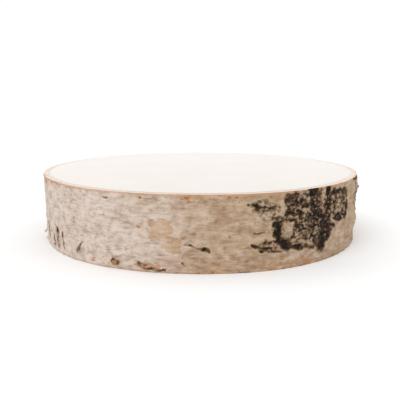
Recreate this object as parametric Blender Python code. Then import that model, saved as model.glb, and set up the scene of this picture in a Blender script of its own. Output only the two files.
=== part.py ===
# Birch wood slice: one round sawn across a birch log, with its bark left on and both faces sanded.
#
# Wood and bark grew together, so the slice is one solid. It lies flat on its underside.
# Metres, +Z up. The origin is at the middle of the underside. Azimuth is in degrees round the log:
# 0 faces -Y, the front, and it grows towards +X, the right.
#
# Run with: blender --background --python part.py

import math

import bmesh
import bpy
from mathutils import Vector, noise

# Driving dimensions
DIAMETER = 0.240               # over the bark, the mean across the upper face
THICKNESS = 0.050              # sawn face to sawn face
TAPER = 0.012                  # share of the radius lost from the upper face to the underside
COLUMNS = 180                  # facets round the bark
ROWS = 12                      # bands of facets up the bark

# The outline is almost round: waves of (count round the log, share of the radius, azimuth of a crest)
OUTLINE_WAVES = (
    (2, 0.0063, 11.0),
    (5, 0.0017, 30.0),
    (6, 0.0024, 27.0),
)

# The smooth bark is drawn into shallow bands round the log
BAND_DEPTH = 0.00025
BAND_HEIGHT = 0.007
BAND_LENGTH = 0.030

# Old, black, fissured bark: a patch that stands proud and is cut up by cracks
PATCH_AZIMUTH = 41.0
PATCH_HALF_WIDTH = 23.0
PATCH_MIDDLE_HEIGHT = 0.029
PATCH_HALF_HEIGHT = 0.022
PATCH_RISE = 0.0012
PATCH_ROUGHNESS = 0.0011
PATCH_GRAIN = 0.007

# Lifted flakes and chips of bark at the rims: (azimuth, width, height above the underside, rise)
CHIPS = (
    (101.0, 0.014, 0.048, 0.0020),
    (112.0, 0.005, 0.049, 0.0014),
    (161.0, 0.007, 0.046, 0.0014),
    (-109.0, 0.010, 0.047, 0.0012),
    (-28.0, 0.007, 0.003, 0.0008),
    (-13.0, 0.009, 0.003, 0.0008),
)
CHIP_HEIGHT = 0.007

# Colours as linear RGB
SANDED_WOOD_COLOUR = (0.62, 0.49, 0.35, 1.0)
BARK_COLOUR = (0.58, 0.48, 0.40, 1.0)


def clear_objects():
    for leftover in list(bpy.data.objects):
        bpy.data.objects.remove(leftover, do_unlink=True)


def make_material(name, colour, roughness):
    material = bpy.data.materials.new(name)
    material.use_nodes = True
    shader = material.node_tree.nodes["Principled BSDF"]
    shader.inputs["Base Color"].default_value = colour
    shader.inputs["Roughness"].default_value = roughness
    shader.inputs["Metallic"].default_value = 0.0
    return material


def turn_between(azimuth, other):
    # Smallest turn from one azimuth to another, -180 to 180 degrees
    return (azimuth - other + 180.0) % 360.0 - 180.0


def soft_bump(distance):
    # 1 at the centre, falling smoothly to 0 at a distance of 1
    if distance >= 1.0:
        return 0.0
    return 0.5 + 0.5 * math.cos(math.pi * distance)


def outline_radius(azimuth, height):
    # Radius of the log under its bark relief: a lobed circle that tapers downwards
    share = 1.0
    for count, depth, crest in OUTLINE_WAVES:
        share += depth * math.cos(math.radians(count * (azimuth - crest)))
    share -= TAPER * (1.0 - height / THICKNESS)
    return 0.5 * DIAMETER * share


def band_relief(place):
    # Shallow bands that run round the log, as birch bark has
    stretched = Vector((place.x / BAND_LENGTH, place.y / BAND_LENGTH, place.z / BAND_HEIGHT))
    return BAND_DEPTH * noise.noise(stretched)


def patch_relief(azimuth, height, place):
    # The black patch: a low swelling broken up by blocks and cracks
    across = turn_between(azimuth, PATCH_AZIMUTH) / PATCH_HALF_WIDTH
    up = (height - PATCH_MIDDLE_HEIGHT) / PATCH_HALF_HEIGHT
    share = min(1.0, 1.6 * soft_bump(math.hypot(across, up)))
    return share * (PATCH_RISE + PATCH_ROUGHNESS * noise.noise(place / PATCH_GRAIN))


def chip_relief(azimuth, height):
    relief = 0.0
    for chip_azimuth, width, chip_height, rise in CHIPS:
        arc = math.radians(turn_between(azimuth, chip_azimuth)) * 0.5 * DIAMETER
        across = arc / (0.5 * width)
        up = (height - chip_height) / CHIP_HEIGHT
        relief += rise * soft_bump(math.hypot(across, up))
    return relief


def bark_point(azimuth, height):
    # A point on the outside of the bark
    angle = math.radians(azimuth)
    outward = Vector((math.sin(angle), -math.cos(angle), 0.0))
    radius = outline_radius(azimuth, height)
    place = outward * radius + Vector((0.0, 0.0, height))
    radius += band_relief(place)
    radius += patch_relief(azimuth, height, place)
    radius += chip_relief(azimuth, height)
    return outward * radius + Vector((0.0, 0.0, height))


def raise_side(bm):
    # A ring of edges pulled up row by row into the side of the slice
    ring = bmesh.ops.create_circle(bm, segments=COLUMNS, radius=0.5 * DIAMETER, cap_ends=False)
    edges = list({edge for vertex in ring["verts"] for edge in vertex.link_edges})
    for _ in range(ROWS):
        raised = bmesh.ops.extrude_edge_only(bm, edges=edges)["geom"]
        corners = [item for item in raised if isinstance(item, bmesh.types.BMVert)]
        edges = [item for item in raised if isinstance(item, bmesh.types.BMEdge)]
        bmesh.ops.translate(bm, verts=corners, vec=(0.0, 0.0, THICKNESS / ROWS))


def shape_bark(bm):
    for vertex in bm.verts:
        azimuth = math.degrees(math.atan2(vertex.co.x, -vertex.co.y))
        vertex.co = bark_point(azimuth, vertex.co.z)


def centre_over_origin(bm):
    # The lobes and the patch make the outline lopsided, so its box is moved over the origin
    across = [vertex.co.x for vertex in bm.verts]
    along = [vertex.co.y for vertex in bm.verts]
    middle = Vector((0.5 * (min(across) + max(across)), 0.5 * (min(along) + max(along)), 0.0))
    bmesh.ops.translate(bm, verts=bm.verts, vec=-middle)


def close_sawn_faces(bm):
    rims = [edge for edge in bm.edges if edge.is_boundary]
    return bmesh.ops.holes_fill(bm, edges=rims, sides=0)["faces"]


def make_slice(sanded_wood, bark):
    bm = bmesh.new()
    raise_side(bm)
    shape_bark(bm)
    centre_over_origin(bm)
    sawn_faces = close_sawn_faces(bm)
    bmesh.ops.recalc_face_normals(bm, faces=bm.faces)
    for face in bm.faces:
        face.material_index = 1
    for face in sawn_faces:
        face.material_index = 0

    mesh = bpy.data.meshes.new("birch_slice")
    bm.to_mesh(mesh)
    bm.free()
    mesh.materials.append(sanded_wood)
    mesh.materials.append(bark)
    mesh.shade_smooth()
    mesh.set_sharp_from_angle(angle=math.radians(40.0))

    birch_slice = bpy.data.objects.new("birch_slice", mesh)
    bpy.context.scene.collection.objects.link(birch_slice)
    return birch_slice


def main():
    clear_objects()
    sanded_wood = make_material("sanded_birch_wood", SANDED_WOOD_COLOUR, 0.5)
    bark = make_material("birch_bark", BARK_COLOUR, 0.8)
    make_slice(sanded_wood, bark)


main()
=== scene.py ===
# A round slice of birch log with its bark left on, lying flat on its sawn underside.
# Metres, +Z up. Azimuth is in degrees round the log: 0 faces -Y, the front, and it grows towards +X.

import math

import bmesh
import bpy
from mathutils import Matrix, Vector, noise


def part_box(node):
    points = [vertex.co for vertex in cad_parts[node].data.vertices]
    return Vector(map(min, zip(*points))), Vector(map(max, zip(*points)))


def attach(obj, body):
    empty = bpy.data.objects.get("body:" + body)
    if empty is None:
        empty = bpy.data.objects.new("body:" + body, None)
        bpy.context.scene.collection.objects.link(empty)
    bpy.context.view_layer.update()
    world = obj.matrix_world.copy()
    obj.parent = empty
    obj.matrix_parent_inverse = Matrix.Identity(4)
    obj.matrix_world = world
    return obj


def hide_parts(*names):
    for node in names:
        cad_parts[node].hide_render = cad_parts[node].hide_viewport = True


mm = 0.001

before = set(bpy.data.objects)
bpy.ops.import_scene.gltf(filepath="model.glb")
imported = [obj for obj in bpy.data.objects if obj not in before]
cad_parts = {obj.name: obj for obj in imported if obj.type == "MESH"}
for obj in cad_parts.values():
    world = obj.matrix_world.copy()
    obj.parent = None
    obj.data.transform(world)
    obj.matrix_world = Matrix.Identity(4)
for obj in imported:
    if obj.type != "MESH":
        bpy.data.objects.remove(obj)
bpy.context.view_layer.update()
sliceLow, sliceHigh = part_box("birch_slice")
thickness = sliceHigh.z - sliceLow.z
meanRadius = 0.25 * (sliceHigh.x - sliceLow.x + sliceHigh.y - sliceLow.y)      # over the bark
print(f"frame: slice {2 * meanRadius / mm:.0f} mm across, {thickness / mm:.0f} mm thick")


# shared helpers

def linearColour(hexCode):
    channels = [int(hexCode[i:i + 2], 16) / 255 for i in (1, 3, 5)]
    linear = [c / 12.92 if c <= 0.04045 else ((c + 0.055) / 1.055) ** 2.4 for c in channels]
    return (*linear, 1.0)


def addNode(tree, kind, settings={}, links={}):
    # lower-case settings are the node's own, the rest are its sockets by name or number
    node = tree.nodes.new("ShaderNode" + kind)
    for name, value in settings.items():
        if isinstance(name, str) and name[0].islower():
            setattr(node, name, value)
        else:
            node.inputs[name].default_value = value
    for name, source in links.items():
        tree.links.new(source, node.inputs[name])
    return node


def ease(low, high, value):
    # 0 at low and 1 at high, eased at both ends; low may be the greater of the two
    share = min(1.0, max(0.0, (value - low) / (high - low)))
    return share * share * (3 - 2 * share)


def turnBetween(azimuth, other):
    return (azimuth - other + 180) % 360 - 180


def outward(azimuth):
    angle = math.radians(azimuth)
    return Vector((math.sin(angle), -math.cos(angle), 0))


def azimuthOf(place):
    return math.degrees(math.atan2(place.x, -place.y))


def stretchedNoise(place, along, up, seed=0.0):
    # about -1 to 1, in grains this long round the log and this tall; a seed moves the pattern elsewhere
    return noise.noise(Vector((place.x / along + seed, place.y / along, place.z / up)))


def pullSkin(bm, columns, stops):
    # a circle of edges is pulled from stop to stop (radius, height, steps) into a skin
    radius, height, _ = stops[0]
    bmesh.ops.create_circle(bm, segments=columns, radius=radius)
    bmesh.ops.translate(bm, verts=bm.verts, vec=(0, 0, height))
    edges = bm.edges[:]
    for endRadius, endHeight, steps in stops[1:]:
        startRadius, startHeight = radius, height
        for step in range(1, steps + 1):
            raised = bmesh.ops.extrude_edge_only(bm, edges=edges)["geom"]
            corners = [part for part in raised if isinstance(part, bmesh.types.BMVert)]
            edges = [part for part in raised if isinstance(part, bmesh.types.BMEdge)]
            nextRadius = startRadius + (endRadius - startRadius) * step / steps
            nextHeight = startHeight + (endHeight - startHeight) * step / steps
            bmesh.ops.scale(bm, verts=corners, vec=(nextRadius / radius, nextRadius / radius, 1))
            bmesh.ops.translate(bm, verts=corners, vec=(0, 0, nextHeight - height))
            radius, height = nextRadius, nextHeight


def keepPiece(bm, name, materials):
    mesh = bpy.data.meshes.new(name)
    bm.to_mesh(mesh)
    bm.free()
    for material in materials:
        mesh.materials.append(material)
    mesh.shade_smooth()
    mesh.set_sharp_from_angle(angle=math.radians(50))                  # the sawn corners stay crisp
    piece = bpy.data.objects.new(name, mesh)
    bpy.context.scene.collection.objects.link(piece)
    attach(piece, "root")
    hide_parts("birch_slice")
    print(f"{name}: {len(mesh.polygons)} faces")
    return piece


# the log's outline, nearly round and a little narrower at the foot

logShape = {
    "waves": ((2, 0.0063, 11), (5, 0.0017, 30), (6, 0.0024, 27)),     # count, share of radius, crest
    "taper": 0.012,                # share of the radius lost from the upper face to the foot
    "barkThickness": 3.0 * mm,
    "barkUnevenness": 0.35 * mm,
    "pith": Vector((-5.7 * mm, -8.5 * mm, 0)),
}


def logRadius(azimuth, height):
    share = 1 - logShape["taper"] * (1 - height / thickness)
    for count, depth, crest in logShape["waves"]:
        share += depth * math.cos(math.radians(count * (azimuth - crest)))
    return meanRadius * share


def woodRadius(azimuth, height):
    uneven = logShape["barkUnevenness"] * noise.noise(outward(azimuth) * 3)
    return logRadius(azimuth, height) - logShape["barkThickness"] - uneven


# bark: where the paper is black, scarred, peeled or rusty

# black strokes: from azimuth and height (mm), to azimuth and height, half width (mm), blackness
blackStrokes = (
    (14.3, 42.6, 21.8, 40.0, 1.0, 0.80),
    (27.0, 44.5, 35.0, 40.0, 1.9, 0.85),
    (26.5, 47.6, 34.0, 45.6, 1.2, 0.75),
    (26.6, 36.3, 34.3, 34.7, 1.5, 0.90),
    (37.0, 48.5, 37.2, 32.0, 3.6, 1.10),
    (44.2, 48.8, 45.0, 28.0, 2.2, 1.10),
    (47.0, 45.5, 56.0, 43.5, 1.8, 0.90),
    (57.0, 42.5, 57.7, 27.0, 2.0, 0.95),
    (50.5, 26.2, 57.5, 26.0, 1.8, 0.90),
    (23.3, 29.5, 24.0, 20.5, 2.5, 1.05),
    (24.2, 20.0, 27.5, 14.4, 2.4, 1.05),
    (27.0, 14.2, 31.0, 12.8, 1.5, 0.95),
    (15.7, 16.4, 21.4, 14.6, 0.9, 0.85),
    (18.4, 13.6, 25.0, 12.0, 0.6, 0.70),
    (15.9, 25.0, 19.4, 24.5, 0.6, 0.60),
    (39.5, 30.5, 43.5, 23.0, 4.0, 1.10),
    (45.9, 21.5, 42.6, 14.0, 2.8, 1.10),
    (42.4, 22.0, 41.8, 11.5, 3.2, 1.10),
    (31.8, 30.0, 34.5, 19.0, 1.6, 0.80),
    (27.6, 33.0, 31.3, 27.0, 1.5, 0.80),
    (29.0, 13.8, 38.2, 11.6, 1.4, 0.72),
    (65.0, 38.0, 65.9, 30.0, 1.0, 0.62),
    (72.1, 44.0, 73.5, 36.0, 1.3, 0.70),
    (76.6, 31.0, 77.5, 22.0, 1.6, 0.80),
    (80.2, 40.0, 79.3, 33.0, 1.5, 0.75),
    (68.6, 46.0, 72.1, 44.0, 1.2, 0.70),
    (-56.6, 16.5, -55.9, 6.0, 1.5, 0.78),
    (-52.0, 15.0, -51.4, 6.5, 1.2, 0.70),
    (-42.8, 6.6, -41.4, 10.5, 1.2, 0.80),
    (-41.4, 10.5, -40.3, 14.0, 0.7, 0.50),
    (-60.6, 10.0, -60.0, 4.5, 1.2, 0.66),
    (-68.6, 16.0, -67.7, 8.0, 1.4, 0.60),
    (-76.6, 18.0, -74.8, 9.0, 1.8, 0.62),
    (-27.8, 5.6, -25.9, 4.0, 1.0, 0.72),
    (-18.6, 4.6, -17.0, 4.0, 1.0, 0.64),
    (-15.9, 2.6, -10.6, 1.8, 0.8, 0.58),
    (65.0, 48.8, 84.6, 48.4, 0.7, 0.66),
    (-30.7, 45.6, -28.6, 45.9, 0.7, 0.42),
    (-4.5, 18.3, -1.5, 17.2, 0.45, 0.62),
    (-1.5, 17.2, 0.6, 15.8, 0.5, 0.55),
    (0.8, 15.4, 2.5, 14.6, 0.9, 0.85),
    (-4.9, 6.8, -4.5, 5.0, 0.6, 0.66),
    (-122.0, 30.0, -133.0, 21.0, 1.8, 0.95),
    (-133.0, 21.0, -144.0, 29.0, 1.8, 0.95),
    (-128.0, 20.0, -138.0, 17.0, 1.5, 0.85),
    (-104.0, 38.0, -97.0, 37.0, 0.9, 0.75),
    (118.0, 16.0, 131.0, 14.5, 1.3, 0.85),
    (122.0, 21.0, 128.0, 20.5, 1.0, 0.80),
    (158.0, 40.0, 166.0, 33.0, 1.5, 0.95),
    (166.0, 33.0, 175.0, 39.0, 1.5, 0.95),
    (-172.0, 12.0, -163.0, 11.0, 1.0, 0.80),
    (92.0, 31.0, 98.0, 30.5, 1.0, 0.75),
)

# places sooty all over: azimuth, height (mm), half length round the log and half height (mm), blackness
sootPlaces = (
    (30.4, 41.5, 12.0, 8.0, 0.58),
    (39.8, 37.0, 11.0, 13.0, 0.60),
    (32.3, 24.5, 13.0, 11.0, 0.50),
    (40.3, 21.0, 11.0, 12.0, 0.66),
    (52.0, 35.0, 13.5, 11.5, 0.62),
    (19.0, 41.5, 9.0, 4.5, 0.44),
    (70.5, 40.0, 7.0, 9.0, 0.42),
    (76.5, 29.0, 9.0, 12.0, 0.38),
    (82.5, 38.0, 7.0, 6.0, 0.26),
    (20.5, 16.5, 10.0, 4.0, 0.44),
    (21.0, 38.0, 8.0, 7.0, 0.42),
    (24.5, 33.0, 7.0, 3.5, 0.46),
    (-133.0, 22.0, 20.0, 8.0, 0.40),
    (124.0, 17.0, 14.0, 5.0, 0.35),
    (166.0, 36.0, 13.0, 6.0, 0.40),
)

# pale islands left in the soot, the same way
paleIslands = (
    (27.6, 24.5, 3.8, 5.8, 0.50),
    (25.2, 40.5, 2.0, 6.5, 0.55),
    (51.5, 34.4, 4.5, 4.5, 0.26),
    (41.4, 42.5, 2.0, 6.0, 0.42),
    (32.9, 13.0, 9.0, 1.5, 0.25),
)

# places where the paper is lost and rough: azimuth, height (mm), half length and half height (mm), how bad
scarPlaces = (
    (32.9, 31.0, 26.0, 18.0, 0.46),
    (45.1, 30.0, 13.0, 19.0, 0.50),
    (54.0, 34.0, 13.0, 12.0, 0.44),
    (72.1, 30.0, 22.0, 20.0, 0.34),
    (18.0, 42.0, 12.0, 6.0, 0.30),
    (19.1, 17.0, 11.0, 6.0, 0.30),
    (-133.0, 22.0, 22.0, 10.0, 0.34),
    (124.0, 17.0, 16.0, 6.0, 0.30),
    (166.0, 36.0, 15.0, 7.0, 0.34),
)

# places where the outer paper has peeled off: azimuth, height (mm), half length and half height (mm),
# how deep
peeledPlaces = (
    (-11.7, 27.0, 8.5, 8.5, 0.62),
    (-8.5, 18.5, 7.0, 6.0, 0.58),
    (-14.8, 3.0, 11.0, 2.2, 0.90),
    (-27.6, 3.4, 5.0, 2.2, 0.85),
    (5.3, 1.4, 10.0, 1.6, 0.80),
    (-2.8, 48.0, 5.0, 2.0, 0.90),
    (-59.0, 49.6, 14.0, 1.2, 0.70),
    (29.7, 3.0, 26.0, 3.4, 0.50),
    (51.5, 34.4, 5.5, 5.0, 0.80),
    (69.5, 27.0, 8.0, 4.0, 0.60),
    (-88.2, 24.0, 12.0, 6.0, 0.75),
    (104.0, 43.0, 12.0, 7.0, 0.85),
    (142.0, 30.0, 14.0, 8.0, 0.75),
    (-155.0, 38.0, 10.0, 5.0, 0.80),
)

# places flecked with rusty brown, where the inner bark shows, the same way
rustyPlaces = (
    (-68.6, 47.6, 14.0, 3.2, 0.78),
    (-57.0, 48.6, 9.0, 1.6, 0.55),
    (-3.7, 47.0, 5.5, 3.0, 0.80),
    (-17.8, 46.8, 2.2, 1.4, 0.90),
    (-38.2, 48.6, 9.0, 1.2, 0.45),
    (10.6, 48.6, 10.0, 1.2, 0.60),
    (-27.0, 5.0, 5.5, 3.0, 0.72),
    (-15.9, 3.6, 10.0, 2.8, 0.85),
    (-35.0, 3.6, 4.0, 2.0, 0.60),
    (2.7, 1.6, 5.0, 1.6, 0.85),
    (-6.9, 2.0, 3.0, 1.2, 0.60),
    (-18.0, 29.5, 2.6, 4.5, 0.60),
    (-14.8, 34.0, 4.0, 1.6, 0.55),
    (-5.3, 24.0, 2.2, 5.0, 0.50),
    (12.2, 24.0, 1.6, 4.0, 0.45),
    (20.1, 18.5, 7.0, 2.6, 0.66),
    (-21.2, 12.0, 6.0, 3.0, 0.35),
    (-42.4, 30.0, 6.0, 3.0, 0.30),
    (36.1, 2.6, 22.0, 2.0, 0.50),
    (26.5, 46.8, 4.5, 2.4, 0.95),
    (97.0, 46.0, 12.0, 3.0, 0.80),
    (-112.0, 46.5, 12.0, 3.0, 0.70),
    (150.0, 3.0, 14.0, 2.6, 0.70),
    (-165.0, 47.5, 16.0, 2.0, 0.60),
    (-100.0, 3.0, 12.0, 2.4, 0.60),
)


def strokeDistance(azimuth, height, stroke):
    # distance from a stroke's middle line, in half widths
    azimuthA, heightA, azimuthB, heightB, halfWidth, _ = stroke
    perDegree = math.radians(1) * meanRadius / mm
    along = turnBetween(azimuth, azimuthA) * perDegree
    up = height / mm - heightA
    runAlong = turnBetween(azimuthB, azimuthA) * perDegree
    runUp = heightB - heightA
    share = (along * runAlong + up * runUp) / (runAlong ** 2 + runUp ** 2)
    share = min(1.0, max(0.0, share))
    return math.hypot(along - share * runAlong, up - share * runUp) / halfWidth


def placeShare(places, azimuth, height, full, gone, stray=0.0):
    # the strongest of some places here: full and gone are where its strength is full and where none is
    # left, in half sizes from its middle
    share = 0.0
    for middle, level, halfLength, halfHeight, strength in places:
        up = (height / mm - level) / halfHeight
        if abs(up) < gone + abs(stray):
            across = math.radians(turnBetween(azimuth, middle)) * meanRadius / mm / halfLength
            share = max(share, strength * ease(gone, full, math.hypot(across, up) + stray))
    return share


barkMarking = {
    "wander": 1.6 * mm,            # how far a mark's edge strays
    "wanderGrain": 5.0 * mm,
    "crackLength": 3.6 * mm,       # the fine cracks that break a mark up
    "crackHeight": 2.4 * mm,
    "crackLean": 0.25,
    "crackShare": 0.60,
    "strokeSpan": 22,              # no stroke reaches further round the log than this, in degrees
    "strokeFull": 0.4,             # a stroke is black out to here and gone there, in half widths
    "strokeGone": 2.2,
    "sootEdge": (0.65, 1.25),      # the same for places, in half sizes
    "islandEdge": (0.5, 1.25),
    "scarEdge": (0.7, 1.25),
    "peeledEdge": (0.5, 1.3),
    "rustyEdge": (0.3, 1.35),
}


def barkMarks(azimuth, height, place):
    # (blackness, how far peeled, how scarred, how rusty) at a place on the bark, each 0 to 1
    grain = barkMarking["wanderGrain"]
    strayAlong = stretchedNoise(place, grain, grain, 3.1) * barkMarking["wander"]
    strayUp = stretchedNoise(place, grain, grain, 7.7) * barkMarking["wander"]
    markAzimuth = azimuth + math.degrees(strayAlong / meanRadius)
    markHeight = height + strayUp
    crackX = place.x / barkMarking["crackLength"]
    crackY = place.y / barkMarking["crackLength"]
    crackZ = place.z / barkMarking["crackHeight"] + barkMarking["crackLean"] * crackX
    crack = noise.fractal(Vector((crackX, crackY, crackZ)), 0.75, 2.1, 5)

    scar = ease(0.1, 0.45, placeShare(scarPlaces, markAzimuth, markHeight, *barkMarking["scarEdge"]))
    density = placeShare(sootPlaces, markAzimuth, markHeight, *barkMarking["sootEdge"])
    density -= placeShare(paleIslands, markAzimuth, markHeight, *barkMarking["islandEdge"])
    for stroke in blackStrokes:
        if abs(turnBetween(markAzimuth, stroke[0])) < barkMarking["strokeSpan"]:
            near = strokeDistance(markAzimuth, markHeight, stroke)
            soot = stroke[5] * ease(barkMarking["strokeGone"], barkMarking["strokeFull"], near)
            density = max(density, soot)
    broken = barkMarking["crackShare"] * (0.45 + 0.55 * scar) * ease(0, 0.3, density)
    black = min(1.0, max(0.0, density + broken * crack))
    peeled = placeShare(peeledPlaces, markAzimuth, markHeight, *barkMarking["peeledEdge"], 0.3 * crack)
    rusty = placeShare(rustyPlaces, markAzimuth, markHeight, *barkMarking["rustyEdge"])
    return black, peeled, scar, rusty


# the bark's shell, with its relief: depths, and grains as length round the log and height

bark = {
    "columns": 900,
    "rowsUp": 92,
    "rowsAcross": 4,
    "crowding": 0.42,              # the columns stand closer together at the black patch
    "crowdedAzimuth": 38,
    "bandDepth": 0.25 * mm,
    "bandGrain": (30 * mm, 7 * mm),
    "fineDepth": 0.12 * mm,
    "fineGrain": 3 * mm,
    "lenticelRise": 0.16 * mm,
    "lenticelGrain": (9 * mm, 1.5 * mm),
    "scarRise": 1.2 * mm,
    "scarGrain": (9 * mm, 6 * mm),
    "blackSink": 1.1 * mm,
    "blackRoughness": 0.9 * mm,
    "blackGrain": 3.2 * mm,
    "peelSink": 0.22 * mm,
    "waveDepth": 1.2 * mm,         # the skin is lumpy next to the black patch
    "waveGrain": (9 * mm, 5 * mm),
    "wavyAzimuth": 76,
    "wavyFull": 8,                 # degrees from there
    "wavyGone": 26,
    "warmShadeAzimuth": 60,             # warmest paper, darkened with painted shade, here; palest opposite
    "faceStep": 0.06 * mm,         # the bark's cut edge lies this far under the wood's face
    "chipDepth": 0.8 * mm,         # how far the rims are chipped, in chips of these lengths
    "footChip": 6 * mm,
    "topChip": 5 * mm,
    "rimRounding": 0.5 * mm,
    "rimReach": 1.2 * mm,
    "rimGrain": 3 * mm,
    "lap": 0.4 * mm,               # the shell's inner wall lies this far inside the wood's side
}

# what the finish is coloured by, stored on every vertex of the skin, 0 to 1
skinShares = ("black", "peeled", "scar", "rusty", "lenticel", "height", "warmAndShade")


# the paper's warmth round the log, which also paints shade: darker on the side turned from the key light
def barkWarmthAndShade(azimuth):
    return ease(0.42, 0.98, 0.5 + 0.5 * math.cos(math.radians(azimuth - bark["warmShadeAzimuth"])))


def barkSkin(azimuth, height):
    # the radius of the skin and its skinShares
    place = outward(azimuth) * logRadius(azimuth, height) + Vector((0, 0, height))
    black, peeled, scar, rusty = barkMarks(azimuth, height, place)
    lenticel = ease(0.34, 0.46, stretchedNoise(place, *bark["lenticelGrain"], 2.2)) * (1 - black)
    wavy = ease(bark["wavyGone"], bark["wavyFull"], abs(turnBetween(azimuth, bark["wavyAzimuth"])))
    rise = bark["bandDepth"] * stretchedNoise(place, *bark["bandGrain"])
    rise += bark["fineDepth"] * noise.fractal(place / bark["fineGrain"], 1.0, 2.0, 3)
    rise += bark["lenticelRise"] * lenticel
    rise += bark["waveDepth"] * wavy * stretchedNoise(place, *bark["waveGrain"], 8.8)
    rise += bark["scarRise"] * scar * (0.8 + 0.6 * stretchedNoise(place, *bark["scarGrain"], 4.4))
    rise -= bark["blackSink"] * black * (0.3 + 0.7 * scar)
    rise += bark["blackRoughness"] * black * noise.fractal(place / bark["blackGrain"], 0.9, 2.1, 3)
    rise -= bark["peelSink"] * peeled
    shares = {"black": black, "peeled": peeled, "scar": scar, "rusty": rusty, "lenticel": lenticel,
              "height": height / thickness, "warmAndShade": barkWarmthAndShade(azimuth)}
    return logRadius(azimuth, height) + rise, shares


def barkPoint(azimuth, share, depth):
    # a point of the shell: share is 0 at the foot and 1 at the top, depth 0 on the skin and 1 at the wood
    ragged = outward(azimuth) * meanRadius
    footChip = bark["chipDepth"] * ease(0.15, 0.6, stretchedNoise(ragged, bark["footChip"], 1, 1.7))
    topChip = bark["chipDepth"] * ease(0.3, 0.7, stretchedNoise(ragged, bark["topChip"], 1, 6.1))
    footEdge = (bark["faceStep"] + footChip) * (1 - depth)
    topEdge = bark["faceStep"] + topChip * (1 - depth)
    height = footEdge + share * (thickness - footEdge - topEdge)
    skin, shares = barkSkin(azimuth, height)
    nearRim = ease(bark["rimReach"], 0, min(height, thickness - height))
    skin -= bark["rimRounding"] * nearRim * (0.6 + stretchedNoise(ragged, bark["rimGrain"], 1, 8.3))
    inside = woodRadius(azimuth, height) - bark["lap"]
    return outward(azimuth) * (skin + depth * (inside - skin)) + Vector((0, 0, height)), shares


def makeBark(materials):
    bm = bmesh.new()
    outer = meanRadius
    inner = meanRadius - logShape["barkThickness"]
    stops = ((outer, 0, 0), (outer, thickness, bark["rowsUp"]), (inner, thickness, bark["rowsAcross"]),
             (inner, 0, 2), (outer, 0, bark["rowsAcross"]))
    pullSkin(bm, bark["columns"], stops)
    bmesh.ops.remove_doubles(bm, verts=bm.verts, dist=0.01 * mm)          # the last row meets the first
    bmesh.ops.recalc_face_normals(bm, faces=bm.faces)
    layers = {name: bm.verts.layers.float.new(name) for name in skinShares}
    depthLayer = bm.verts.layers.float.new("depth")
    for vertex in bm.verts:
        azimuth = azimuthOf(vertex.co)
        crowd = math.sin(math.radians(azimuth - bark["crowdedAzimuth"]))
        azimuth -= math.degrees(bark["crowding"]) * crowd
        depth = (outer - math.hypot(vertex.co.x, vertex.co.y)) / (outer - inner)
        vertex.co, shares = barkPoint(azimuth, vertex.co.z / thickness, depth)
        vertex[depthLayer] = depth
        for name, layer in layers.items():
            vertex[layer] = shares[name]
    for face in bm.faces:
        cutEdge = max(vertex[depthLayer] for vertex in face.verts) > 0.01
        face.material_index = 1 if cutEdge else 0
    return keepPiece(bm, "birch_bark", materials)


# flakes of bark that have lifted off the skin

# azimuth, height (mm), reach from root to free end (mm), width (mm), way it points (0 right, 90 up), curl
flakePlaces = (
    (101, 42.5, 6.0, 14.0, 90, 0.9),
    (112, 45.0, 4.0, 5.0, 90, 1.0),
    (161, 44.0, 4.5, 7.0, 90, 0.9),
    (-109, 43.5, 5.0, 10.0, 90, 0.8),
    (-27.0, 6.0, 3.6, 3.6, -90, 0.9),
    (-16.4, 5.6, 3.4, 7.0, -90, 0.8),
    (-12.2, 5.0, 3.0, 4.0, -80, 1.0),
    (-55.2, 10.5, 2.6, 10.0, 180, 1.0),
    (-50.4, 10.0, 2.2, 8.0, 180, 0.8),
    (-41.4, 8.0, 2.6, 4.0, 200, 1.1),
    (-61.0, 6.5, 2.6, 5.0, -100, 1.0),
    (-83.8, 45.4, 3.0, 7.0, 85, 0.9),
    (-84.6, 19.5, 5.0, 9.0, -85, 1.1),
    (-78.4, 9.0, 4.6, 9.0, -95, 1.1),
    (-72.1, 6.0, 3.6, 6.0, -90, 1.0),
    (26.5, 27.0, 3.4, 7.0, 185, 0.9),
    (33.4, 36.0, 3.0, 7.0, 80, 0.9),
    (48.9, 37.0, 3.6, 8.0, 175, 0.9),
    (61.5, 35.0, 3.6, 10.0, 5, 1.0),
    (68.6, 20.0, 4.0, 9.0, -20, 0.9),
    (78.4, 40.0, 3.6, 7.0, 20, 1.0),
    (84.6, 22.0, 3.4, 8.0, 0, 1.0),
    (139.0, 26.0, 7.0, 12.0, 175, 1.3),
    (-150.0, 36.0, 6.0, 9.0, 10, 1.2),
    (-95.0, 22.0, 6.0, 10.0, 185, 1.1),
    (-126.0, 24.0, 3.4, 8.0, 60, 0.9),
)

flake = {
    "thickness": 0.28 * mm,
    "segments": 10,
    "rootSink": 0.25 * mm,
    "clearance": 0.1 * mm,
    "meanLength": 0.85,            # share of the reach, and how far the torn end strays from it
    "raggedness": 0.35,
    "raggedGrain": 2.2 * mm,
    "narrowing": 0.45,             # share of the width lost at the free end
    "faceGap": 0.4 * mm,           # no flake comes nearer to the sawn faces
}


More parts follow.
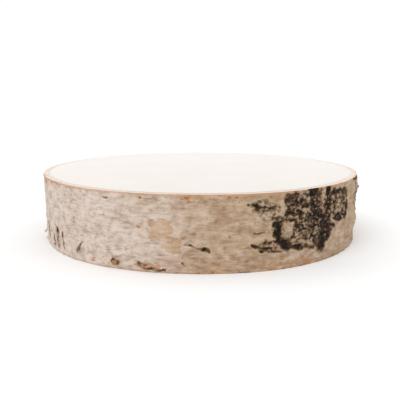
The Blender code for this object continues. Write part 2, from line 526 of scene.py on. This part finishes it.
def makeFlakes(materials):
    bm = bmesh.new()
    layers = {name: bm.verts.layers.float.new(name) for name in skinShares}
    for azimuth, rootHeight, reach, width, pointing, curl in flakePlaces:
        sheet = bmesh.ops.create_grid(bm, x_segments=flake["segments"], y_segments=flake["segments"],
                                      size=0.5)
        turn = math.radians(pointing)
        for vertex in sheet["verts"]:
            along = vertex.co.x + 0.5                  # 0 at the root, 1 at the free end
            side = vertex.co.y * width * mm
            ragged = flake["raggedness"] * noise.noise(Vector((side / flake["raggedGrain"], azimuth, 0)))
            along *= flake["meanLength"] + ragged
            side *= 1 - flake["narrowing"] * along ** 2
            forward = reach * mm * math.sin(curl * along) / curl
            lift = reach * mm * (1 - math.cos(curl * along)) / curl - flake["rootSink"] * (1 - along)
            up = forward * math.sin(turn) + side * math.cos(turn)
            across = forward * math.cos(turn) - side * math.sin(turn)
            vertexAzimuth = azimuth + math.degrees(across / meanRadius)
            height = min(thickness - flake["faceGap"], max(flake["faceGap"], rootHeight * mm + up))
            skin, shares = barkSkin(vertexAzimuth, height)
            radius = skin + lift + flake["clearance"]
            vertex.co = outward(vertexAzimuth) * radius + Vector((0, 0, height))
            shares["black"] *= 0.5
            shares["peeled"] = 0.6 * along
            for name, layer in layers.items():
                vertex[layer] = shares[name]
        sheetFaces = list({face for vertex in sheet["verts"] for face in vertex.link_faces})
        bmesh.ops.solidify(bm, geom=sheetFaces, thickness=flake["thickness"])
    bmesh.ops.recalc_face_normals(bm, faces=bm.faces)
    return keepPiece(bm, "bark_flakes", materials)


# the sanded wood inside the bark

wood = {
    "columns": 288,
    "rings": 46,
    "ringCrowding": 1.25,          # the mesh's rings crowd towards the pith
    "pithRing": 0.004,             # the smallest ring, and the one where the arris starts, as shares
    "arrisRing": 0.997,
    "arris": 0.35 * mm,            # the softened corner all round each face
    "pithHoles": ((0.4 * mm, 0.9 * mm, 0.9 * mm), (-0.7 * mm, -0.8 * mm, 0.7 * mm)),   # x, y, half width
    "pithDepth": 0.15 * mm,
}


def makeWood(materials):
    bm = bmesh.new()
    # a tiny circle round the pith grows over the underside, up the side and back in over the face,
    # with radius and height as shares of the real ones
    stops = ((wood["pithRing"], 0, 0), (wood["arrisRing"], 0, wood["rings"]), (1, 0.01, 1), (1, 0.99, 2),
             (wood["arrisRing"], 1, 1), (wood["pithRing"], 1, wood["rings"]))
    pullSkin(bm, wood["columns"], stops)
    pithRims = [edge for edge in bm.edges if edge.is_boundary]
    pithFaces = bmesh.ops.holes_fill(bm, edges=pithRims, sides=0)["faces"]
    bmesh.ops.poke(bm, faces=pithFaces)
    bmesh.ops.recalc_face_normals(bm, faces=bm.faces)
    growthLayer = bm.verts.layers.float.new("growth")
    for vertex in bm.verts:
        azimuth = azimuthOf(vertex.co)
        # 0 at the pith and 1 at the bark
        growth = math.hypot(vertex.co.x, vertex.co.y) ** wood["ringCrowding"]
        level = vertex.co.z
        height = level * thickness
        rim = outward(azimuth) * woodRadius(azimuth, height)
        if growth > 0.9 and not 0.005 < level < 0.995:
            rim -= outward(azimuth) * wood["arris"]
        place = logShape["pith"].lerp(rim, growth)
        dip = 0.0
        for holeX, holeY, halfWidth in wood["pithHoles"]:
            near = math.hypot(place.x - logShape["pith"].x - holeX, place.y - logShape["pith"].y - holeY)
            dip = max(dip, wood["pithDepth"] * ease(halfWidth, 0.3 * halfWidth, near))
        vertex.co = place + Vector((0, 0, height - dip if level > 0.5 else height + dip))
        vertex[growthLayer] = growth
    return keepPiece(bm, "sanded_wood", materials)


# finishes

# what sanding gives both cut surfaces: raised fibres that turn them pale at a low angle
sandedSurface = {
    "Roughness": 0.5,
    "IOR": 1.5,
    "Coat Weight": 1.0,
    "Coat Roughness": 0.32,
    "Sheen Weight": 1.0,
    "Sheen Roughness": 0.5,
}

endGrain = {
    "pale": "#b49e83",
    "tan": "#a4845f",
    "grey": "#ab9983",
    "rim": "#8a6341",
    "pith": "#6d4a30",
    "mottleSize": 42 * mm,
    "streakLength": 130 * mm,
    "streakWidth": 2.4 * mm,
    "streakAngle": -29,
    "ringCount": 34,
    "fibreSize": 0.9 * mm,         # far coarser than a birch fibre, so that it shows
}


def makeEndGrain():
    # sanded birch end grain: a satin face that is tan from above and pale at a low angle,
    # where its fine raised fibres catch the light
    material = bpy.data.materials.new("sanded birch end grain")
    material.use_nodes = True
    tree = material.node_tree
    tree.nodes.clear()
    spot = addNode(tree, "TexCoord").outputs["Object"]
    growth = addNode(tree, "Attribute", {"attribute_name": "growth"}).outputs["Fac"]

    mottleSpot = addNode(tree, "Mapping", {"Scale": (1 / endGrain["mottleSize"],) * 3}, {"Vector": spot})
    mottle = addNode(tree, "TexNoise", {"Scale": 1.0, "Detail": 3.0}, {"Vector": mottleSpot.outputs[0]})
    mottleShare = addNode(tree, "MapRange", {"From Min": 0.25, "From Max": 0.75},
                          {"Value": mottle.outputs["Fac"]})
    body = addNode(tree, "Mix", {"data_type": "RGBA", 6: linearColour(endGrain["tan"]),
                                 7: linearColour(endGrain["pale"])}, {0: mottleShare.outputs[0]})

    turn = math.radians(endGrain["streakAngle"])
    sawSpot = addNode(tree, "Mapping", {"vector_type": "TEXTURE", "Rotation": (0, 0, turn),
                                        "Scale": (endGrain["streakLength"], endGrain["streakWidth"], 1)},
                      {"Vector": spot})
    saw = addNode(tree, "TexNoise", {"Scale": 1.0, "Detail": 3.0}, {"Vector": sawSpot.outputs[0]})
    sawShare = addNode(tree, "MapRange", {"From Min": 0.45, "From Max": 0.7, "To Max": 0.5},
                       {"Value": saw.outputs["Fac"]})
    streaked = addNode(tree, "Mix", {"data_type": "RGBA", 7: linearColour(endGrain["grey"])},
                       {0: sawShare.outputs[0], 6: body.outputs[2]})

    ringPhase = addNode(tree, "Math", {"operation": "MULTIPLY_ADD", 1: endGrain["ringCount"] * 2 * math.pi,
                                       2: 0.0}, {0: growth})
    ringWobble = addNode(tree, "Math", {"operation": "MULTIPLY_ADD", 1: 9.0},
                         {0: mottle.outputs["Fac"], 2: ringPhase.outputs[0]})
    ringWave = addNode(tree, "Math", {"operation": "SINE"}, {0: ringWobble.outputs[0]})
    ringShare = addNode(tree, "MapRange", {"From Min": 0.2, "From Max": 1.0, "To Max": 0.07},
                        {"Value": ringWave.outputs[0]})
    ringed = addNode(tree, "Mix", {"data_type": "RGBA", 7: linearColour(endGrain["rim"])},
                     {0: ringShare.outputs[0], 6: streaked.outputs[2]})

    rimShare = addNode(tree, "MapRange", {"interpolation_type": "SMOOTHSTEP", "From Min": 0.975,
                                          "From Max": 0.998, "To Max": 0.2}, {"Value": growth})
    rimmed = addNode(tree, "Mix", {"data_type": "RGBA", 7: linearColour(endGrain["rim"])},
                     {0: rimShare.outputs[0], 6: ringed.outputs[2]})
    pithShare = addNode(tree, "MapRange", {"interpolation_type": "SMOOTHSTEP", "From Min": 0.016,
                                           "From Max": 0.006, "To Max": 0.6}, {"Value": growth})
    colour = addNode(tree, "Mix", {"data_type": "RGBA", 7: linearColour(endGrain["pith"])},
                     {0: pithShare.outputs[0], 6: rimmed.outputs[2]})

    fibreSpot = addNode(tree, "Mapping", {"Scale": (1 / endGrain["fibreSize"],) * 3}, {"Vector": spot})
    fibre = addNode(tree, "TexNoise", {"Scale": 1.0, "Detail": 2.0}, {"Vector": fibreSpot.outputs[0]})
    grooves = addNode(tree, "Math", {"operation": "ADD"}, {0: saw.outputs["Fac"], 1: fibre.outputs["Fac"]})
    bump = addNode(tree, "Bump", {"Strength": 0.35, "Distance": 0.12 * mm}, {"Height": grooves.outputs[0]})
    shader = addNode(tree, "BsdfPrincipled", sandedSurface,
                     {"Base Color": colour.outputs[2], "Normal": bump.outputs[0]})
    addNode(tree, "OutputMaterial", {}, {"Surface": shader.outputs[0]})
    return material


barkColours = {
    "paper": "#cabbaf",
    # warm paper is darker than plain paper: partly its own warmer tone, partly painted shade away from the
    # key light
    "warmShadedPaper": "#ac9379",
    "chalk": "#ddd2c8",
    "blotch": "#d9cdc4",           # this and the next six are multiplied with what they lie on
    "mottle": "#c9bab0",
    "dash": "#a08f84",
    "fleck": "#a67f68",
    "layerEdge": "#c99f84",
    "peeledEdge": "#ddbb9e",
    "peeledTint": "#fdf0dc",
    "peeled": "#c0a68f",
    "scar": "#877058",
    "scarPale": "#b09a7e",
    "rimStain": "#b08562",
    "rust": "#a9744c",
    "darkRust": "#5e3322",
    "smudge": "#7a624a",
    "blackBrown": "#3b2918",
    "black": "#0f0904",
    # pale specks on the scar: partly paler flecks of bark, partly a painted highlight on raised flecks
    "paleFleckAndGlint": "#b5a48f",
}

# sizes of the bark's patterns: length round the log and height (mm), detail
barkPatterns = {
    "cloud": (34, 15, 2),
    "blotch": (9, 5, 3),
    "mottle": (4.6, 2.8, 4),
    "dash": (6.0, 0.8, 2),
    "fleck": (2.8, 1.6, 2),
    "fibre": (2.4, 0.55, 3),
    "layer": (13, 7, 3),
    "scarGrain": (2.6, 1.8, 4),
    "sootGrain": (2.6, 2.0, 3),
    # grain of the pale specks, which are partly a painted highlight
    "glintFleckGrain": (3.2, 2.2, 3),
}

# the bark's colour from the ground up. Each layer has its mask, where the mask starts and is full, how
# strong the layer is, how it is laid on and its colour
barkLayers = (
    # the first layer is warmer paper and painted shade, darkest on the side turned from the key light
    ("warmShadeCloud", 0.35, 1.35, 1.00, "MIX", "warmShadedPaper"),
    ("blotch", 0.48, 0.68, 0.60, "MULTIPLY", "blotch"),
    ("blotch", 0.48, 0.34, 0.22, "MIX", "chalk"),
    ("mottle", 0.48, 0.70, 0.50, "MULTIPLY", "mottle"),
    ("mottle", 0.46, 0.32, 0.15, "MIX", "chalk"),
    ("dash", 0.58, 0.70, 0.36, "MULTIPLY", "dash"),
    ("fleck", 0.64, 0.74, 0.50, "MULTIPLY", "fleck"),
    ("lenticel", 0.30, 0.90, 0.30, "MULTIPLY", "dash"),
    ("contour", 0.012, 0.003, 0.30, "MULTIPLY", "layerEdge"),
    ("peeledFrayed", 0.20, 0.70, 0.25, "MIX", "peeled"),
    ("peeledFrayed", 0.10, 0.65, 0.75, "MULTIPLY", "peeledTint"),
    ("peelEdge", 0.22, 0.02, 0.40, "MULTIPLY", "peeledEdge"),
    ("scarFrayed", 0.10, 0.80, 0.75, "MIX", "scarPale"),
    ("scarScore", 0.40, 0.62, 0.75, "MIX", "scar"),
    ("rim", 0.985, 1.010, 0.55, "MIX", "rimStain"),
    ("rim", 0.045, 0.028, 0.60, "MIX", "rimStain"),
    ("rustyFrayed", 0.32, 0.70, 0.60, "MIX", "rust"),
    ("rustyFrayed", 0.80, 1.15, 0.80, "MIX", "darkRust"),
    ("blackFrayed", 0.14, 0.42, 0.75, "MIX", "smudge"),
    ("blackFrayed", 0.38, 0.70, 0.85, "MIX", "blackBrown"),
    ("blackFrayed", 0.64, 1.05, 0.92, "MIX", "black"),
    # pale specks on the scar, partly a painted highlight where raised flecks would catch the light
    ("paleFleckAndGlint", 0.58, 0.70, 0.60, "MIX", "paleFleckAndGlint"),
    ("rustyAsh", 0.60, 0.70, 0.55, "MIX", "darkRust"),
)

# how strongly fine grain frays each mark's edge
markFray = {
    "black": ("sootGrain", 2.0),
    "peeled": ("mottle", 2.2),
    "scar": ("mottle", 1.0),
    "rusty": ("fleck", 2.4),
}


def makeBirchBark():
    # birch bark: matt paper in pale pinkish layers with fine grey dashes, tan where it has peeled,
    # brown and rough round the black fissures
    material = bpy.data.materials.new("papery birch bark")
    material.use_nodes = True
    tree = material.node_tree
    tree.nodes.clear()
    spot = addNode(tree, "TexCoord").outputs["Object"]
    masks = {name: addNode(tree, "Attribute", {"attribute_name": name}).outputs["Fac"]
             for name in skinShares}
    for name, (along, up, detail) in barkPatterns.items():
        scale = (1000 / along, 1000 / along, 1000 / up)
        stretched = addNode(tree, "Mapping", {"Scale": scale}, {"Vector": spot})
        masks[name] = addNode(tree, "TexNoise", {"Scale": 1.0, "Detail": detail},
                              {"Vector": stretched.outputs[0]}).outputs["Fac"]

    # warmth and its painted shade stray with the clouds, and a layer's edge is a thin contour of its
    # pattern
    masks["warmShadeCloud"] = addNode(tree, "Math", {"operation": "MULTIPLY_ADD", 1: 0.9},
                                 {0: masks["cloud"], 2: masks["warmAndShade"]}).outputs[0]
    offContour = addNode(tree, "Math", {"operation": "SUBTRACT", 1: 0.5}, {0: masks["layer"]})
    masks["contour"] = addNode(tree, "Math", {"operation": "ABSOLUTE"},
                               {0: offContour.outputs[0]}).outputs[0]
    masks["rim"] = addNode(tree, "Math", {"operation": "MULTIPLY_ADD", 1: 0.05},
                           {0: masks["mottle"], 2: masks["height"]}).outputs[0]

    # fine grain breaks every mark up, most of all where the skin is scarred
    scarred = addNode(tree, "MapRange", {"To Min": 0.35, "To Max": 1.0}, {"Value": masks["scar"]})
    for name, (grain, strength) in markFray.items():
        centred = addNode(tree, "Math", {"operation": "SUBTRACT", 1: 0.5}, {0: masks[grain]})
        present = addNode(tree, "MapRange", {"From Max": 0.2}, {"Value": masks[name]})
        held = addNode(tree, "Math", {"operation": "MULTIPLY"},
                       {0: centred.outputs[0], 1: present.outputs[0]})
        if name == "black":
            held = addNode(tree, "Math", {"operation": "MULTIPLY"},
                           {0: held.outputs[0], 1: scarred.outputs[0]})
        masks[name + "Frayed"] = addNode(tree, "Math", {"operation": "MULTIPLY_ADD", 1: strength},
                                         {0: held.outputs[0], 2: masks[name]}).outputs[0]
    # pale specks over the scar: partly paler bark, partly a painted highlight on its raised flecks
    masks["paleFleckAndGlint"] = addNode(tree, "Math", {"operation": "MULTIPLY"},
                           {0: masks["scar"], 1: masks["glintFleckGrain"]}).outputs[0]
    masks["rustyAsh"] = addNode(tree, "Math", {"operation": "MULTIPLY"},
                                {0: masks["scar"], 1: masks["fleck"]}).outputs[0]
    offEdge = addNode(tree, "Math", {"operation": "SUBTRACT", 1: 0.34}, {0: masks["peeledFrayed"]})
    masks["peelEdge"] = addNode(tree, "Math", {"operation": "ABSOLUTE"}, {0: offEdge.outputs[0]}).outputs[0]
    masks["scarScore"] = addNode(tree, "Math", {"operation": "MULTIPLY"},
                                 {0: masks["scar"], 1: masks["scarGrain"]}).outputs[0]

    colour = addNode(tree, "RGB").outputs[0]
    colour.default_value = linearColour(barkColours["paper"])
    for mask, start, full, strength, blend, name in barkLayers:
        share = addNode(tree, "MapRange", {"interpolation_type": "SMOOTHSTEP", "From Min": start,
                                           "From Max": full, "To Max": strength}, {"Value": masks[mask]})
        colour = addNode(tree, "Mix", {"data_type": "RGBA", "blend_type": blend,
                                       7: linearColour(barkColours[name])},
                         {0: share.outputs[0], 6: colour}).outputs[2]

    relief = addNode(tree, "Math", {"operation": "MULTIPLY_ADD", 1: 0.7},
                     {0: masks["mottle"], 2: masks["fibre"]})
    sunk = addNode(tree, "Math", {"operation": "MULTIPLY_ADD", 1: -1.2},
                   {0: masks["blackFrayed"], 2: relief.outputs[0]})
    bump = addNode(tree, "Bump", {"Strength": 0.8, "Distance": 0.45 * mm}, {"Height": sunk.outputs[0]})
    dullness = addNode(tree, "MapRange", {"To Min": 0.65, "To Max": 0.92}, {"Value": masks["black"]})
    shader = addNode(tree, "BsdfPrincipled", {"IOR": 1.4, "Specular IOR Level": 0.3},
                     {"Base Color": colour, "Roughness": dullness.outputs[0], "Normal": bump.outputs[0]})
    addNode(tree, "OutputMaterial", {}, {"Surface": shader.outputs[0]})
    return material


sawnBark = {
    "outer": "#855737",
    "inner": "#a07048",
    "bloom": "#fff0e2",
    "grainSize": 1.5 * mm,
}


def makeSawnBark():
    # the bark's sawn and sanded edge: corky reddish tan, with a warm bloom at a low angle like the face's
    material = bpy.data.materials.new("sawn edge of birch bark")
    material.use_nodes = True
    tree = material.node_tree
    tree.nodes.clear()
    spot = addNode(tree, "TexCoord").outputs["Object"]
    depth = addNode(tree, "Attribute", {"attribute_name": "depth"}).outputs["Fac"]
    grainSpot = addNode(tree, "Mapping", {"Scale": (1 / sawnBark["grainSize"],) * 3}, {"Vector": spot})
    grain = addNode(tree, "TexNoise", {"Scale": 1.0, "Detail": 3.0}, {"Vector": grainSpot.outputs[0]})
    strayed = addNode(tree, "Math", {"operation": "MULTIPLY_ADD", 1: 0.5},
                      {0: grain.outputs["Fac"], 2: depth})
    share = addNode(tree, "MapRange", {"interpolation_type": "SMOOTHSTEP", "From Min": 0.35,
                                       "From Max": 0.95}, {"Value": strayed.outputs[0]})
    colour = addNode(tree, "Mix", {"data_type": "RGBA", 6: linearColour(sawnBark["outer"]),
                                   7: linearColour(sawnBark["inner"])}, {0: share.outputs[0]})
    bump = addNode(tree, "Bump", {"Strength": 0.5, "Distance": 0.2 * mm}, {"Height": grain.outputs["Fac"]})
    shader = addNode(tree, "BsdfPrincipled",
                     {**sandedSurface, "Sheen Tint": linearColour(sawnBark["bloom"])},
                     {"Base Color": colour.outputs[2], "Normal": bump.outputs[0]})
    addNode(tree, "OutputMaterial", {}, {"Surface": shader.outputs[0]})
    return material


# stage, light and camera

studio = {
    "floorColour": "#efefef",
    "floorRadius": 8,
    "sky": 1.06,                   # how bright the white room is overhead and at the horizon
    "horizon": 1.02,
    "horizonTop": 0.45,            # the sine of the elevation where the horizon's light has given way
    "sun": 0.95,
    "sunAngle": 50,                # degrees across, wide for soft shadows
    "sunFrom": Vector((-0.3, -0.7, 0.75)),
    "eyeDistance": 4.17,           # in radii of the slice, from its axis
    "eyeHeight": 0.546,            # in radii, above the upper face
    "lens": 58,
}


def makeStage():
    bm = bmesh.new()
    bmesh.ops.create_circle(bm, segments=96, radius=studio["floorRadius"], cap_ends=True)
    mesh = bpy.data.meshes.new("floor")
    bm.to_mesh(mesh)
    bm.free()
    floor = bpy.data.objects.new("floor", mesh)
    bpy.context.scene.collection.objects.link(floor)
    material = bpy.data.materials.new("matt white floor")
    material.use_nodes = True
    shader = material.node_tree.nodes["Principled BSDF"]
    shader.inputs["Base Color"].default_value = linearColour(studio["floorColour"])
    shader.inputs["Roughness"].default_value = 1.0
    shader.inputs["Specular IOR Level"].default_value = 0.0
    mesh.materials.append(material)
    print("floor: matt white")


def makeLight():
    # an evenly white room with one very soft key from the front left
    world = bpy.data.worlds.new("white studio")
    world.use_nodes = True
    tree = world.node_tree
    direction = addNode(tree, "TexCoord").outputs["Generated"]
    climb = addNode(tree, "SeparateXYZ", {}, {0: direction}).outputs[2]
    glow = addNode(tree, "MapRange", {"interpolation_type": "SMOOTHSTEP", "From Max": studio["horizonTop"],
                                      "To Min": studio["horizon"], "To Max": studio["sky"]},
                   {"Value": climb})
    tree.links.new(glow.outputs[0], tree.nodes["Background"].inputs["Strength"])
    tree.nodes["Background"].inputs["Color"].default_value = (1, 1, 1, 1)
    bpy.context.scene.world = world
    data = bpy.data.lights.new("soft key", "SUN")
    data.energy = studio["sun"]
    data.angle = math.radians(studio["sunAngle"])
    key = bpy.data.objects.new("soft key", data)
    key.rotation_euler = studio["sunFrom"].to_track_quat("Z", "Y").to_euler()
    bpy.context.scene.collection.objects.link(key)
    print(f"light: white room and a soft key {studio['sunAngle']} degrees wide")


def makeCamera():
    data = bpy.data.cameras.new("camera")
    data.lens = studio["lens"]
    data.clip_start = 0.01
    camera = bpy.data.objects.new("camera", data)
    middle = Vector((0, 0, 0.5 * thickness))
    camera.location = (0, -studio["eyeDistance"] * meanRadius, thickness + studio["eyeHeight"] * meanRadius)
    camera.rotation_euler = (camera.location - middle).to_track_quat("Z", "Y").to_euler()
    bpy.context.scene.collection.objects.link(camera)
    bpy.context.scene.camera = camera
    bpy.context.scene.view_settings.view_transform = "Standard"
    print(f"camera: {camera.location.length:.2f} m off, {data.lens} mm lens")


endGrainFinish = makeEndGrain()
barkFinish = makeBirchBark()
sawnFinish = makeSawnBark()
print("finishes: end grain, papery bark, sawn bark")
makeWood([endGrainFinish])
makeBark([barkFinish, sawnFinish])
makeFlakes([barkFinish])
makeStage()
makeLight()
makeCamera()
